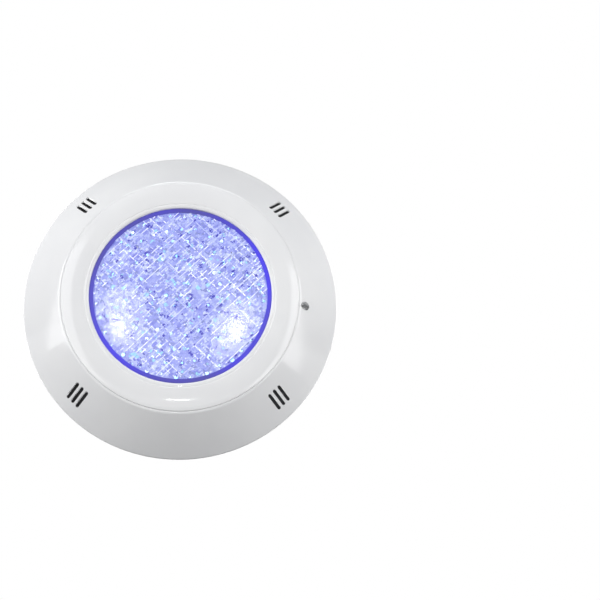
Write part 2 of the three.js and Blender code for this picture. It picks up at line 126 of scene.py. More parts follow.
# Gland and cable
GLAND_R = 56.4
GLAND_AT = -151.8
GLAND_OUT_R = 11.8
GLAND_BORE_R = 10.0
GLAND_Z = 9.6
GLAND_FLOOR_Z = 13.0
CABLE_PASSAGE_R = 3.9
CAP_REAR_Z = 9.2
CAP_FRONT_Z = 10.7
CABLE_D = 7.0
CABLE_LENGTH = 1300.0
BEND_R = 28.0
BEND_START_Z = 8.0
BEND_HEADING = -137.0
COIL_STEP = 7.2
COIL_MEAN_R = 39.0
INWARD_STEPS = (240, 600)       # where each begins, in degrees of winding
LAYER_STEP = 840
OUTWARD_STEPS = (1080, 1440)
STEP_TURN = 120
TIE_AT = 20.0
TIE_WIDTH = 6.0
CORE_D = 2.2
CORE_OFFSET = 1.35              # from the cable's middle
STRANDS_D = 1.2

# Lens and lights
DOME_R = 78.5                   # the clear part ends here
DOME_TOP = 38.0
DOME_SAG = 2.6
INNER_TOP = 35.8
INNER_SAG = 2.7
LED_BOARD_TOP = 30.1
PATTERN_TURN = 49.0             # the lens pattern's direction
WIRE_HOLE = Vector((16, 6))     # in the LED board
WIRE_HOLE_CLEAR = 8.0           # no LED and no small prism is nearer to it
SCREW_CLEAR = 5.6               # no LED is nearer to a board screw
PRISM_PITCH = (4.3, 2.5)
PRISM_MISSING = 0.16            # share of the prisms left out
PRISM_TAPER = 0.86
RIDGE_SETS = ((PATTERN_TURN, 3.9, 0.78), (PATTERN_TURN + 92, 6.6, 0.72))  # direction, pitch, share
LED_RINGS = (6, 12, 18, 24, 30, 36)
LED_RING_PITCH = 12.6
LED_HALF = 2.2
LED_DOME_HEIGHT = 1.0

# ---- Geometry helpers -------------------------------------------------------------------------

SHARP_ANGLE = math.radians(30)   # softened() rounds the edges sharper than this
SHADING_ANGLE = math.radians(32)


def polar(r, degrees):
    return r * math.cos(math.radians(degrees)), r * math.sin(math.radians(degrees))


def turn(degrees):
    return Matrix.Rotation(math.radians(degrees), 4, "Z")


def filleted(outline, steps=4):
    """An outline of (r, z) points, where a third number rounds that corner to its radius."""
    result = []
    count = len(outline)
    for i, point in enumerate(outline):
        here = Vector(point[:2])
        if len(point) == 2:
            result.append(here)
            continue
        before = Vector(outline[i - 1][:2]) - here
        after = Vector(outline[(i + 1) % count][:2]) - here
        reach = min(point[2], 0.45 * before.length, 0.45 * after.length)
        start = here + before.normalized() * reach
        end = here + after.normalized() * reach
        for k in range(steps + 1):
            t = k / steps
            result.append(start * (1 - t) ** 2 + here * 2 * t * (1 - t) + end * t ** 2)
    return result


def lathe(outline, steps=STEPS):
    """A closed body turned about z from a closed outline, or from one that ends on the axis."""
    points = filleted(outline)
    shape = bmesh.new()
    rings = []
    for r, z in points:
        if r < 1e-6:
            rings.append([shape.verts.new((0, 0, z))] * steps)
            continue
        angles = [2 * math.pi * k / steps for k in range(steps)]
        rings.append([shape.verts.new((r * math.cos(a), r * math.sin(a), z)) for a in angles])
    pairs = list(zip(rings, rings[1:] + rings[:1]))
    for one, two in pairs:
        if one[0] is one[1] and two[0] is two[1]:
            continue
        for k in range(steps):
            n = (k + 1) % steps
            corners = [one[k], one[n], two[n], two[k]]
            corners = [v for i, v in enumerate(corners) if v not in corners[:i]]
            shape.faces.new(corners)
    bmesh.ops.recalc_face_normals(shape, faces=shape.faces)
    return shape


def raised(points, z0, z1):
    """A flat outline of (x, y) points raised from z0 to z1."""
    shape = bmesh.new()
    low = [shape.verts.new((x, y, z0)) for x, y in points]
    high = [shape.verts.new((x, y, z1)) for x, y in points]
    shape.faces.new(low[::-1])
    shape.faces.new(high)
    for k in range(len(points)):
        n = (k + 1) % len(points)
        shape.faces.new((low[k], low[n], high[n], high[k]))
    bmesh.ops.recalc_face_normals(shape, faces=shape.faces)
    return shape


def softened(shape, radius, steps=2):
    """The solid with its sharp edges rounded."""
    sharp = [e for e in shape.edges if e.is_manifold and e.calc_face_angle(0) > SHARP_ANGLE]
    bmesh.ops.bevel(shape, geom=sharp, offset=radius, segments=steps, profile=0.5,
                    affect="EDGES", clamp_overlap=True)
    return shape


def web(outline, width, v, degrees, radius=0.25):
    """A web that stands on a radius, its middle v to the side of it."""
    shape = raised(outline, -width / 2, width / 2)
    shape.transform(Matrix.Rotation(math.pi / 2, 4, "X"))
    shape.transform(Matrix.Translation((0, v, 0)))
    shape = softened(shape, radius)
    shape.transform(turn(degrees))
    return shape


def block(u, v, z, degrees=0, radius=0.25):
    """A box from u[0] to u[1] along the radius, v across it and z, turned to an angle."""
    corners = [(u[0], v[0]), (u[1], v[0]), (u[1], v[1]), (u[0], v[1])]
    shape = raised(corners, z[0], z[1])
    if radius:
        shape = softened(shape, radius)
    shape.transform(turn(degrees))
    return shape


def rod(r, z0, z1, x=0.0, y=0.0, steps=32, rounding=0.0):
    corners = [polar(r, 360 * k / steps) for k in range(steps)]
    shape = raised(corners, z0, z1)
    if rounding:
        softened(shape, rounding)
    shape.transform(Matrix.Translation((x, y, 0)))
    return shape


def arc(r, start, end, steps, x=0.0, y=0.0):
    """Points along an arc about (x, y)."""
    angles = [start + (end - start) * k / steps for k in range(steps + 1)]
    return [(x + polar(r, a)[0], y + polar(r, a)[1]) for a in angles]


def sector(r0, r1, start, end, z0, z1):
    return softened(raised(arc(r1, start, end, 8) + arc(r0, end, start, 8), z0, z1), 0.2)


def together(shapes):
    """Solids that don't touch each other, in one mesh."""
    whole = bmesh.new()
    for shape in shapes:
        mesh = bpy.data.meshes.new("part")
        shape.to_mesh(mesh)
        shape.free()
        whole.from_mesh(mesh)
        bpy.data.meshes.remove(mesh)
    return whole


def as_object(name, shape):
    mesh = bpy.data.meshes.new(name)
    shape.to_mesh(mesh)
    shape.free()
    piece = bpy.data.objects.new(name, mesh)
    bpy.context.scene.collection.objects.link(piece)
    return piece


def boolean(base, shape, operation):
    """Joins a shape to an object, or cuts it out, with the result in the object's mesh."""
    other = as_object("operand", shape)
    modifier = base.modifiers.new("boolean", "BOOLEAN")
    modifier.object = other
    modifier.operation = operation
    modifier.solver = "MANIFOLD"
    evaluated = base.evaluated_get(bpy.context.evaluated_depsgraph_get())
    mesh = bpy.data.meshes.new_from_object(evaluated)
    base.modifiers.clear()
    old = base.data
    base.data = mesh
    bpy.data.meshes.remove(old)
    bpy.data.meshes.remove(other.data)


def finished(piece, body, *materials):
    """Puts a bench-frame mesh in the world, shades it and lets it ride on its body."""
    piece.data.transform(BENCH_TO_WORLD)
    piece.data.shade_smooth()
    piece.data.set_sharp_from_angle(angle=SHADING_ANGLE)
    piece.data.materials.clear()
    for material in materials:
        piece.data.materials.append(material)
    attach(piece, body)
    return piece


# ---- Materials --------------------------------------------------------------------------------


PRISM_CELLS = 330               # to the metre


class Nodes:
    """A material's nodes, with the few kinds of pattern that the finishes here need."""

    def __init__(self, name):
        self.material = bpy.data.materials.new(name)
        self.material.use_nodes = True
        self.tree = self.material.node_tree
        self.shader = self.tree.nodes["Principled BSDF"]
        self.place = self.add("ShaderNodeTexCoord").outputs["Object"]

    def add(self, kind, **settings):
        node = self.tree.nodes.new(kind)
        for key, value in settings.items():
            setattr(node, key, value)
        return node

    def link(self, source, target):
        self.tree.links.new(source, target)

    def noise(self, scale, detail=3.0, place=None):
        node = self.add("ShaderNodeTexNoise")
        node.inputs["Scale"].default_value = scale
        node.inputs["Detail"].default_value = detail
        self.link(place or self.place, node.inputs["Vector"])
        return node.outputs["Fac"]

    def ramp(self, factor, stops, interpolation="LINEAR"):
        node = self.add("ShaderNodeValToRGB")
        ramp = node.color_ramp
        ramp.interpolation = interpolation
        while len(ramp.elements) < len(stops):
            ramp.elements.new(1.0)
        for element, (at, color) in zip(ramp.elements, stops):
            element.position = at
            element.color = (*color, 1)
        self.link(factor, node.inputs["Fac"])
        return node.outputs["Color"]

    def span(self, factor, low, high):
        node = self.add("ShaderNodeMapRange")
        node.inputs["From Min"].default_value = 0.3
        node.inputs["From Max"].default_value = 0.7
        node.inputs["To Min"].default_value = low
        node.inputs["To Max"].default_value = high
        self.link(factor, node.inputs["Value"])
        return node.outputs["Result"]

    def bump(self, height, strength, distance=0.0002):
        node = self.add("ShaderNodeBump")
        node.inputs["Strength"].default_value = strength
        node.inputs["Distance"].default_value = distance
        self.link(height, node.inputs["Height"])
        self.link(node.outputs["Normal"], self.shader.inputs["Normal"])

    def set(self, **values):
        for key, value in values.items():
            self.shader.inputs[key.replace("_", " ")].default_value = value


def moulded(name, low, high, rough, grain=900.0, strength=0.05, patch=25.0, **values):
    """A moulded or painted surface: mottled between two colours, with a fine grain."""
    n = Nodes(name)
    n.link(n.ramp(n.noise(patch), [(0.35, low), (0.65, high)]), n.shader.inputs["Base Color"])
    n.link(n.span(n.noise(patch * 3), rough[0], rough[1]), n.shader.inputs["Roughness"])
    n.bump(n.noise(grain, 2.0), strength)
    n.set(**values)
    return n.material


def clear_plastic():
    n = Nodes("clear_polycarbonate")
    n.set(Transmission_Weight=1.0, IOR=1.42, Specular_IOR_Level=0.1, Coat_Weight=1.0,
          Coat_Roughness=0.28)
    n.link(n.ramp(n.noise(18), [(0.3, (0.93, 0.94, 1.0)), (0.7, (0.98, 0.98, 1.0))]),
           n.shader.inputs["Base Color"])
    n.link(n.span(n.noise(70), 0.015, 0.04), n.shader.inputs["Roughness"])
    n.bump(n.noise(45, 2.0), 0.1)
    return n.material


def painted_edge_glow():
    """The lens's thick edge, with the blue light it gathers painted on: a painted blue glow that the
    edge emits itself.
    """
    n = Nodes("lens_edge_painted_glow")
    n.set(Roughness=0.35, Specular_IOR_Level=0.2, Emission_Strength=1.0)
    patch = n.noise(11, 1.0)
    n.link(n.ramp(patch, [(0.3, (0.03, 0.03, 0.22)), (0.7, (0.03, 0.02, 0.35))]),
           n.shader.inputs["Base Color"])
    n.link(n.ramp(patch, [(0.35, (0.075, 0.07, 0.19)), (0.6, (0.06, 0.05, 0.50))]),
           n.shader.inputs["Emission Color"])
    n.bump(n.noise(600), 0.1)
    return n.material


def prism_cells_painted_light():
    """Small facets on the lens's rear side, with painted light: most glow a painted pale, some are
    painted dark as shade, and some carry a painted reflection of a diode.
    """
    n = Nodes("lens_prisms")
    n.set(Roughness=0.12, Alpha=0.85, Emission_Strength=1.0)
    cell = n.add("ShaderNodeTexVoronoi")
    cell.inputs["Scale"].default_value = PRISM_CELLS
    n.link(n.place, cell.inputs["Vector"])
    split = n.add("ShaderNodeSeparateColor")
    n.link(cell.outputs["Color"], split.inputs["Color"])
    shade = split.outputs["Red"]
    n.link(n.ramp(shade, [(0.0, (0.04, 0.04, 0.2)), (0.3, (0.12, 0.12, 0.3))]),
           n.shader.inputs["Base Color"])
    # painted light: the emitted colours paint shade (dark stops), a pale glow, and a diode's
    # reflection (cyan stop)
    stops = [(0.0, (0.06, 0.06, 0.42)), (0.06, (0.26, 0.30, 0.56)), (0.2, (0.34, 0.38, 0.72)),
             (0.5, (0.48, 0.55, 0.80)), (0.8, (0.68, 0.76, 0.84)), (0.95, (0.34, 0.74, 0.76))]
    n.link(n.ramp(shade, stops, "CONSTANT"), n.shader.inputs["Emission Color"])
    return n.material


def prism_ridges_painted_glow():
    # The ridges' pale glow is a painted highlight, emitted by the ridges themselves.
    n = Nodes("lens_ridges")
    n.set(Roughness=0.1, Alpha=0.85, Emission_Strength=1.0)
    patch = n.noise(28, 2.0)
    n.link(n.ramp(patch, [(0.3, (0.3, 0.3, 0.5)), (0.7, (0.6, 0.6, 0.7))]),
           n.shader.inputs["Base Color"])
    n.link(n.ramp(patch, [(0.38, (0.50, 0.56, 0.86)), (0.6, (0.90, 0.93, 1.0))]),
           n.shader.inputs["Emission Color"])
    return n.material


def board_painted_blue_light():
    """The white LED board, with the blue light that washes it painted on: a blue base colour and a
    blue glow it emits itself.
    """
    n = Nodes("board_painted_blue_light")
    n.set(Roughness=0.5, Emission_Strength=1.0)
    patch = n.noise(120, 4.0)
    n.link(n.ramp(patch, [(0.3, (0.08, 0.08, 0.2)), (0.7, (0.14, 0.14, 0.25))]),
           n.shader.inputs["Base Color"])
    stops = [(0.3, (0.14, 0.15, 0.60)), (0.5, (0.26, 0.30, 0.70)), (0.7, (0.40, 0.45, 0.78))]
    n.link(n.ramp(patch, stops), n.shader.inputs["Emission Color"])
    return n.material


def diode():
    n = Nodes("diode")
    n.set(Roughness=0.3, Emission_Strength=1.35)
    patch = n.noise(60, 1.0)
    n.link(n.ramp(patch, [(0.3, (0.5, 0.8, 0.9)), (0.7, (0.9, 0.95, 1.0))]),
           n.shader.inputs["Base Color"])
    n.link(n.ramp(patch, [(0.35, (0.22, 0.85, 1.0)), (0.65, (0.75, 0.95, 1.0))]),
           n.shader.inputs["Emission Color"])
    return n.material


def metal(name, low, high, rough):
    return moulded(name, low, high, rough, grain=400.0, strength=0.04, patch=90.0, Metallic=1.0)


WHITE_ABS = moulded("white_abs_plastic", (0.80, 0.805, 0.82), (0.84, 0.845, 0.855), (0.08, 0.13),
                    grain=1400.0, strength=0.02, patch=14.0)
BODY_ABS = moulded("body_abs_plastic", (0.79, 0.795, 0.81), (0.83, 0.835, 0.85), (0.16, 0.24),
                   grain=1100.0, strength=0.02, patch=14.0)
CLEAR = clear_plastic()
LENS_EDGE_PAINTED_GLOW = painted_edge_glow()
SHEATH = moulded("cable_sheath", (0.010, 0.010, 0.012), (0.022, 0.022, 0.025), (0.34, 0.46),
                 grain=1600.0, strength=0.12, patch=60.0)
NYLON = moulded("tie_nylon_black", (0.014, 0.014, 0.015), (0.028, 0.028, 0.03), (0.36, 0.5),
                grain=1200.0, strength=0.08, patch=80.0)
RED_WIRE = moulded("wire_red", (0.38, 0.015, 0.015), (0.50, 0.03, 0.03), (0.4, 0.5))
BLACK_WIRE = moulded("wire_black", (0.012, 0.012, 0.013), (0.03, 0.03, 0.03), (0.4, 0.5))
COPPER = metal("copper_strands", (0.62, 0.27, 0.13), (0.8, 0.4, 0.22), (0.28, 0.4))

# The CAD nodes that no finer piece replaces.
CARRIED_OVER = {
    "lens_seal": moulded("silicone_seal", (0.62, 0.62, 0.66), (0.74, 0.74, 0.76), (0.45, 0.6),
                         Subsurface_Weight=0.1),
    "gland_seal": moulded("black_seal", (0.02, 0.02, 0.02), (0.035, 0.035, 0.036), (0.5, 0.65)),
    "led_board": board_painted_blue_light(),
    "heat_plate": metal("aluminium_plate", (0.62, 0.63, 0.65), (0.74, 0.75, 0.77), (0.3, 0.45)),
    "driver_board": moulded("green_board", (0.02, 0.13, 0.06), (0.05, 0.22, 0.10), (0.3, 0.45),
                            patch=220.0),
    "inductor": metal("copper_winding", (0.5, 0.2, 0.09), (0.7, 0.32, 0.16), (0.28, 0.4)),
    "terminal_block": moulded("green_nylon", (0.03, 0.22, 0.09), (0.05, 0.3, 0.13), (0.4, 0.5)),
    "led_feed_positive": RED_WIRE,
    "led_feed_negative": BLACK_WIRE,
    "supply_core_1": RED_WIRE,
    "supply_core_2": BLACK_WIRE,
}
CAN_SLEEVE = moulded("capacitor_sleeve_blue", (0.03, 0.06, 0.17), (0.06, 0.11, 0.26), (0.25, 0.4))
EPOXY = moulded("black_epoxy_body", (0.014, 0.014, 0.015), (0.03, 0.03, 0.032), (0.4, 0.55))
SCREW_STEEL = metal("screw_steel", (0.62, 0.63, 0.65), (0.76, 0.77, 0.78), (0.22, 0.35))
for name in ("capacitor_1", "capacitor_2"):
    CARRIED_OVER[name] = CAN_SLEEVE
for name in ("bridge_rectifier", "switching_transistor", "driver_ic"):
    CARRIED_OVER[name] = EPOXY
for k in range(4):
    CARRIED_OVER[f"board_screw_{k + 1}"] = SCREW_STEEL
for name, material in CARRIED_OVER.items():
    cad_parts[name].data.materials.clear()
    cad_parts[name].data.materials.append(material)

# ---- Camera -----------------------------------------------------------------------------------

CAMERA_AT = Vector((0.0521, -1.0634, -0.2979))
CAMERA_FORWARD = Vector((0.05214, 0.95828, 0.28102))
CAMERA_UP = Vector((-0.08222, -0.27633, 0.95754))
FOCAL_LENGTH = 70.77            # in millimetres, as the sensor's width
SENSOR_WIDTH = 36


def add_camera():
    camera = bpy.data.objects.new("camera", bpy.data.cameras.new("camera"))
    camera.data.lens = FOCAL_LENGTH
    camera.data.sensor_width = SENSOR_WIDTH
    camera.data.clip_start = 0.01
    back = -CAMERA_FORWARD.normalized()
    right = CAMERA_UP.cross(back).normalized()
    up = back.cross(right)
    turned = Matrix((right, up, back)).transposed().to_4x4()
    camera.matrix_world = Matrix.Translation(CAMERA_AT) @ turned
    bpy.context.scene.collection.objects.link(camera)
    bpy.context.scene.camera = camera


add_camera()

# ---- Cable ------------------------------------------------------------------------------------

GLAND_X, GLAND_Y = polar(GLAND_R, GLAND_AT)
HEADING = Vector(polar(1, BEND_HEADING))
COIL_OUTER_TURN = COIL_MEAN_R + COIL_STEP
COIL_INNER_TURN = COIL_MEAN_R - COIL_STEP
BEND_END = Vector((GLAND_X, GLAND_Y)) + HEADING * BEND_R
COIL_CENTRE = BEND_END + Vector((-HEADING.y, HEADING.x)) * COIL_OUTER_TURN
FRONT_LAYER_Z = BEND_START_Z - BEND_R
REAR_LAYER_Z = FRONT_LAYER_Z - COIL_STEP
COIL_START = BEND_HEADING - 90


def eased(angle, start, end):
    t = min(max((angle - start) / (end - start), 0.0), 1.0)
    return t * t * (3 - 2 * t)


def coil_place(angle):
    """Radius and height of the winding after so many degrees: three turns inwards, a step to
    the rear layer, then the turns back outwards. Each step takes a third of a turn."""
    radius = COIL_OUTER_TURN
    for start in INWARD_STEPS:
        radius -= COIL_STEP * eased(angle, start, start + STEP_TURN)
    for start in OUTWARD_STEPS:
        radius += COIL_STEP * eased(angle, start, start + STEP_TURN)
    return radius, FRONT_LAYER_Z - COIL_STEP * eased(angle, LAYER_STEP, LAYER_STEP + STEP_TURN)


def cable_points():
    """The centreline in the bench frame: out of the cap, a quarter bend, then the coil."""
    bend_steps = 16
    points = [Vector((GLAND_X, GLAND_Y, CAP_REAR_Z))]
    for k in range(bend_steps + 1):
        t = math.radians(90 * k / bend_steps)
        out = HEADING * (BEND_R * (1 - math.cos(t)))
        z = BEND_START_Z - BEND_R * math.sin(t)
        points.append(Vector((GLAND_X + out.x, GLAND_Y + out.y, z)))
    run = sum((b - a).length for a, b in zip(points, points[1:]))
    step = 5
    angle = 0
    while True:
        angle += step
        radius, z = coil_place(angle)
        x, y = polar(radius, COIL_START + angle)
        point = Vector((COIL_CENTRE.x + x, COIL_CENTRE.y + y, z))
        length = (point - points[-1]).length
        if run + length > CABLE_LENGTH:
            points.append(points[-1].lerp(point, (CABLE_LENGTH - run) / length))
            return points
        points.append(point)
        run += length


def tube(name, points, diameter, material, sides=8):
    curve = bpy.data.curves.new(name, "CURVE")
    curve.dimensions = "3D"
    curve.bevel_depth = diameter / 2 * MM
    curve.bevel_resolution = sides
    curve.use_fill_caps = True
    spline = curve.splines.new("POLY")
    spline.points.add(len(points) - 1)
    for place, point in zip(spline.points, points):
        place.co = (*(BENCH_TO_WORLD @ point), 1)
    spline.use_smooth = True
    curve.materials.append(material)
    piece = bpy.data.objects.new(name, curve)
    bpy.context.scene.collection.objects.link(piece)
    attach(piece, "lamp_body")
    return piece


def add_cable():
    points = cable_points()
    cable = tube("cable", points, CABLE_D, SHEATH)
    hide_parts("cable_lead", "cable_coil")
    tie = coil_tie()
    on_cable = [tie]
    end = points[-1]
    along = (points[-1] - points[-2]).normalized()
    side = Vector((0, 0, 1))
    for name, offset, material, slot in (("core_end_red", CORE_OFFSET, RED_WIRE, "red_wire"),
                                         ("core_end_black", -CORE_OFFSET, BLACK_WIRE, "black_wire")):
        start = end - along * 2 + side * offset
        core = tube(name, [start, start + along * 6, start + along * 11], CORE_D, material, 5)
        bared = [start + along * 10, start + along * 16]
        strands = tube(name + "_strands", bared, STRANDS_D, COPPER, 4)
        on_cable += [core, strands]
    start = BENCH_TO_WORLD @ points[0]


def coil_tie():
    """A nylon strap round the bundle of turns, with its ratchet head outside."""
    gap = 0.25
    strap = 1.1
    inner = (COIL_INNER_TURN - CABLE_D / 2 - gap, REAR_LAYER_Z - CABLE_D / 2 - gap)
    outer = (COIL_OUTER_TURN + CABLE_D / 2 + gap, FRONT_LAYER_Z + CABLE_D / 2 + gap)
    loop = []
    for grow in (strap, 0.0):
        corners = [(inner[0] - grow, inner[1] - grow), (outer[0] + grow, inner[1] - grow),
                   (outer[0] + grow, outer[1] + grow), (inner[0] - grow, outer[1] + grow)]
        loop.append(filleted([(u, z, 2.4 + grow) for u, z in corners], 5))
    shape = bmesh.new()
    sides = []
    for v in (-TIE_WIDTH / 2, TIE_WIDTH / 2):
        sides.append([[shape.verts.new((u, v, z)) for u, z in points] for points in loop])
    count = len(loop[0])
    near, far = sides
    for k in range(count):
        n = (k + 1) % count
        shape.faces.new((near[0][k], near[0][n], near[1][n], near[1][k]))
        shape.faces.new((far[0][k], far[1][k], far[1][n], far[0][n]))
        shape.faces.new((near[0][k], far[0][k], far[0][n], near[0][n]))
        shape.faces.new((near[1][k], near[1][n], far[1][n], far[1][k]))
    bmesh.ops.recalc_face_normals(shape, faces=shape.faces)
    softened(shape, 0.2)
    head_at = outer[0] + 0.3
    head = block((head_at, head_at + 3.2), (-3.4, 3.4),
                 (REAR_LAYER_Z - 3.6, REAR_LAYER_Z + 3), 0, 0.5)
    tail = block((head_at + 0.6, head_at + 1.7), (-2.2, 2.2),
                 (REAR_LAYER_Z, REAR_LAYER_Z + 7), 0, 0.2)
    tie = as_object("cable_tie", shape)
    boolean(tie, head, "UNION")
    boolean(tie, tail, "UNION")
    tie.data.transform(Matrix.Translation((COIL_CENTRE.x, COIL_CENTRE.y, 0)) @ turn(TIE_AT))
    finished(tie, "lamp_body", NYLON)
    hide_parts("coil_tie")
    return tie


add_cable()

# ---- Face ring --------------------------------------------------------------------------------

SKIRT_SLOPE = (SHOULDER_Z - RIM_EDGE - 0.6) / (RIM_R - 0.7 - SHOULDER_R)


def skirt_outer(r):
    return SHOULDER_Z - (r - SHOULDER_R) * SKIRT_SLOPE


def skirt_inner(r):
    return skirt_outer(r) - WALL * math.hypot(1, SKIRT_SLOPE)


def face_ring_shell():
    return lathe([
        (RIM_R, 0, 0.3), (RIM_R, RIM_EDGE + 0.3, 0.9),
        (109.6, 32.95, 0.6), (108.3, 33.55, 0.4), (107.3, 33.5, 0.15),
        (107.0, 34.65, 0.2), (104.5, 35.4, 3), (98.5, 36.3, 4), (91, FACE_Z - 0.05, 3),
        (86.9, FACE_Z - 0.05, 0.3), (86.4, FACE_Z - 0.4, 0.25), (85.6, FACE_Z - 0.1, 0.5),
        (84.4, FACE_Z, 0.8), (82.9, FACE_Z - 0.5, 0.8), (OPENING_R, FACE_Z - 1.5, 0.5),
        (OPENING_R, LIP_UNDER_Z, 0.2), (92, 34.2), (101, 33.5, 3), (105, 32.6, 1),
        (106.8, skirt_inner(106.8), 1), (141.4, skirt_inner(141.4), 1),
        (142.4, 1, 0.8), (142.9, 0, 0.2),
    ])


def slot_cutter(degrees, k):
    end = (SLOT_LENGTH - SLOT_WIDTH) / 2
    y = k * SLOT_PITCH
    outline = arc(SLOT_WIDTH / 2, -90, 90, 10, SLOT_R + end, y)
    outline += arc(SLOT_WIDTH / 2, 90, 270, 10, SLOT_R - end, y)
    cutter = raised(outline, 1, FACE_Z)
    cutter.transform(turn(degrees + SLOT_TURN))
    return cutter


def clip_parts():
    """The clips' solids, as groups whose members don't touch each other."""
    half = CLIP_WIDTH / 2
    rail_side = half - CLIP_WALL / 2
    rail = [(SEAT_R + 0.7, CLIP_REAR_Z), (104.6, CLIP_REAR_Z), (119.5, skirt_inner(119.5) + 0.8),
            (107, 33), (103.5, 34.1), (SEAT_R + 0.7, 35)]
    return [
        together([web(rail, CLIP_WALL, -rail_side, a) for a in STATIONS]),
        together([web(rail, CLIP_WALL, rail_side, a) for a in STATIONS]),
        together([block((HOOK_R, 98.2), (-half, half), (CLIP_REAR_Z, FLANGE_Z - 0.5), a)
                  for a in STATIONS]),
        together([block((102.6, 103.9), (-half + 0.2, half - 0.2), (CLIP_REAR_Z, 34.1), a)
                  for a in STATIONS]),
    ]


def ring_ribs():
    fin = [(98.5, INNER_RIBS_Z), (110, INNER_RIBS_Z), (114.5, skirt_inner(114.5) + 0.8),
           (107, 33), (103.5, 34.1), (98.5, 34.8)]
    grip = [(97.6, 31.9), (103.6, 30.6), (108.4, 27.6), (109.6, 30.4), (105, 33.8), (97.6, 34.8)]
    return [
        together([web(fin, 1.2, 0, a + 9) for a in STATIONS]),
        together([web(fin, 1.2, 0, a - 12.5) for a in STATIONS]),
        together([sector(93, 95.2, a + 3.1, a + 7.6, INNER_RIBS_Z, 35) for a in STATIONS]),
        together([web(grip, 1.3, v, a) for a in DIAGONALS for v in range(-9, 10, 3)]),
    ]


def screw_boss():
    boss = as_object("boss", rod(SCREW_BOSS_R, SCREW_BOSS_REAR_Z, FACE_Z, SCREW_R, 0, HOLE_STEPS))
    behind_skirt = lathe([(100, 0), (125, 0), (125, skirt_outer(125) - 0.6),
                          (100, skirt_outer(100) - 0.6)])
    boolean(boss, behind_skirt, "INTERSECT")
    shape = bmesh.new()
    shape.from_mesh(boss.data)
    bpy.data.meshes.remove(boss.data)
    return shape


def add_face_ring():
    ring = as_object("face_ring_shell", face_ring_shell())
    for group in clip_parts() + ring_ribs() + [screw_boss()]:
        boolean(ring, group, "UNION")
    slots = together([slot_cutter(a, k) for a in DIAGONALS for k in (-1, 0, 1)])
    counterbore = rod(COUNTERBORE_R, COUNTERBORE_FLOOR_Z, FACE_Z, SCREW_R, 0, HOLE_STEPS)
    screw_hole = rod(SCREW_HOLE_R, 10, 20, SCREW_R, 0, HOLE_STEPS)
    for cutter in (slots, counterbore, screw_hole):
        boolean(ring, cutter, "DIFFERENCE")
    finished(ring, "face_ring", WHITE_ABS)
    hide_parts("face_ring")


add_face_ring()

# ---- Lamp body --------------------------------------------------------------------------------


def housing_shell():
    return lathe([
        (0, DISC_Z), (DISC_R - 0.8, DISC_Z, 0.6), (DISC_R, DISC_Z + 0.3, 0.5),
        (58.5, 16.9, 6), (70.2, 21.7, 0.8), (GROOVE_R, GROOVE_Z, 0.4), (RING_R, GROOVE_Z, 0.4),
        (RING_R, FLANGE_Z, 0.7), (FLANGE_R, FLANGE_Z, 0.3),
        (FLANGE_R, FLANGE_Z + WALL, 0.3), (CUP_R, FLANGE_Z + WALL, 0.3), (CUP_R, CUP_TOP_Z, 0.4),
        (86.2, CUP_TOP_Z, 0.3), (86.2, LEDGE_Z), (LEDGE_R, LEDGE_Z, 0.3), (LEDGE_R, 29.2, 0.4),
        (86, 27.2), (86, FLANGE_Z + WALL), (77.1, FLANGE_Z + WALL), (77.1, 24.8), (69.4, 24.6),
        (57.6, 19.6), (DISC_R - 1, DISC_Z + WALL + 0.1), (0, DISC_Z + WALL),
    ])


def flange_outline():
    half = FINGER_WIDTH / 2
    points = []
    for clip_at in STATIONS:
        finger_at = clip_at + FINGER_AT
        c, s = polar(1, finger_at)
        tip_r = FINGER_R - half
        points += arc(FLANGE_R, clip_at - 45 + SEAT_END, clip_at + NOTCH_END, 14)
        points.append(polar(SEAT_R, clip_at + SEAT_START))
        points.append((SEAT_R * c + half * s, SEAT_R * s - half * c))
        points += arc(half, finger_at - 90, finger_at + 90, 14, tip_r * c, tip_r * s)
        points.append((SEAT_R * c - half * s, SEAT_R * s + half * c))
        points += arc(SEAT_R, clip_at + SEAT_AFTER_FINGER, clip_at + SEAT_END, 8)
    return points


def flange():
    plate = as_object("flange", softened(raised(flange_outline(), FLANGE_Z, FLANGE_Z + WALL), 0.3))
    boolean(plate, rod(FLANGE_IN_R, FLANGE_Z - 1, FLANGE_Z + WALL + 1, 0, 0, STEPS), "DIFFERENCE")
    shape = bmesh.new()
    shape.from_mesh(plate.data)
    bpy.data.meshes.remove(plate.data)
    return shape


def arm_parts():
    half = ARM_WIDTH / 2
    side = half - ARM_WALL / 2
    across = (-half + 0.2, half - 0.2)
    rail = [(53.5, 16.2), (66, ARM_REAR_Z + 1.2), (68, ARM_REAR_Z), (ARM_END_R, ARM_REAR_Z),
            (ARM_END_R, ARM_END_Z), (97, 11), (90, FLANGE_Z + 1.2), (78, FLANGE_Z + 1.2), (76, 23.4),
            (72, 23.4), (60, 19.2)]
    plate_z = (ARM_REAR_Z, ARM_REAR_Z + ARM_PLATE)
    end_z = (ARM_REAR_Z, ARM_END_Z)
    return [
        together([web(rail, ARM_WALL, -side, a, 0.35) for a in ARMS]),
        together([web(rail, ARM_WALL, side, a, 0.35) for a in ARMS]),
        together([block((ARM_PLATE_R, ARM_END_R - 0.1), across, plate_z, a, 0.3) for a in ARMS]),
        together([block((ARM_END_R - ARM_WALL, ARM_END_R), across, end_z, a, 0.3) for a in ARMS]),
    ]


def arm_cuts():
    behind = ARM_REAR_Z - 1
    pocket = ((110.6, 114.2), (-6.4, 6.4), (behind, ARM_REAR_Z + 1.5))
    window = ((WINDOW_R, WINDOW_R + WINDOW), (-WINDOW / 2, WINDOW / 2), (behind, 10.5))
    return [
        rod(ARM_SCREW_R, behind, ARM_REAR_Z + ARM_PLATE + 1, SCREW_R, 0, HOLE_STEPS),
        rod(ARM_SCREW_SEAT_R, behind, ARM_REAR_Z + 0.8, SCREW_R, 0, HOLE_STEPS),
        block(*window, 180, 0.0),
        together([block(*pocket, a, 0.0) for a in (90, 270)]),
    ]


